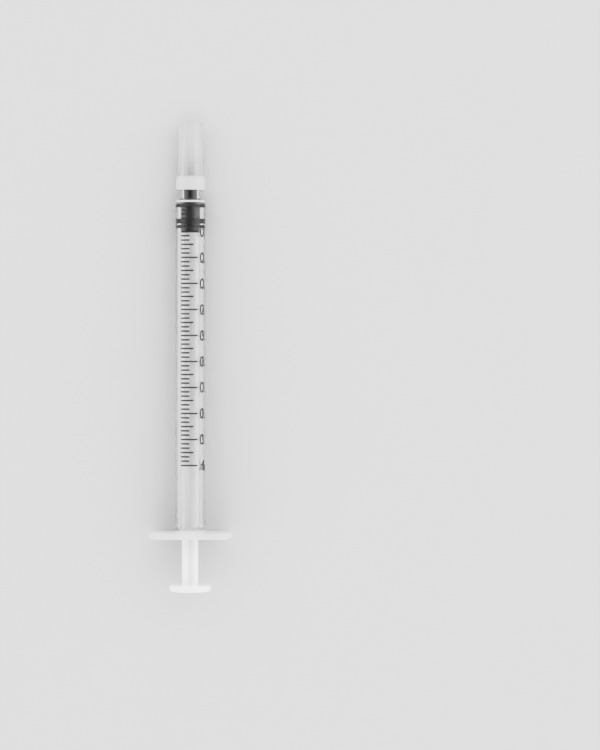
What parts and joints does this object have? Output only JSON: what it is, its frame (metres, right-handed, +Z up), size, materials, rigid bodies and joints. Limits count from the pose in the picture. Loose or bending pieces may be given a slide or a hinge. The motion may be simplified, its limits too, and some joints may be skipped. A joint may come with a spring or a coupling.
{
  "type": "oral syringe",
  "caption": "Small oral dosing syringe: clear graduated barrel with finger flange, rubber-tipped plunger that slides, and a ribbed press-on tip cap.",
  "frame": {"origin": "on the barrel's axis, in the front face of the finger flange", "axes": "+Y along the barrel towards the tip, +Z up out of the printed side, +X to the right of the scale"},
  "size_m": [0.0186, 0.1043, 0.0106],
  "materials": {
    "clear_barrel": "clear, slightly hazy polypropylene, polished outside",
    "natural_plastic": "translucent natural polypropylene, satin",
    "cap_plastic": "translucent white polyethylene, fine satin",
    "black_rubber": "smooth black rubber with a film of silicone oil",
    "printed_ink": "black pad-printed ink, semi-matt"
  },
  "bodies": {
    "barrel": {"barrel": "clear_barrel", "graduation_lines": "printed_ink", "scale_numerals": "printed_ink"},
    "stopper": {"stopper": "black_rubber"},
    "plunger_rod": {"plunger_rod": "natural_plastic"},
    "tip_cap": {"tip_cap": "cap_plastic"}
  },
  "joints": [
    {"name": "plunger_slide", "type": "slide", "parent": "barrel", "child": "stopper", "axis": [0, -1, 0], "range_m": [0, 0.065]},
    {"name": "rod_spin", "type": "hinge", "parent": "stopper", "child": "plunger_rod", "pos_m": [0, 0.069, 0], "axis": [0, 1, 0], "continuous": true},
    {"name": "cap_pull", "type": "slide", "parent": "barrel", "child": "tip_cap", "axis": [0, 1, 0], "range_m": [0, 0.03]}
  ]
}
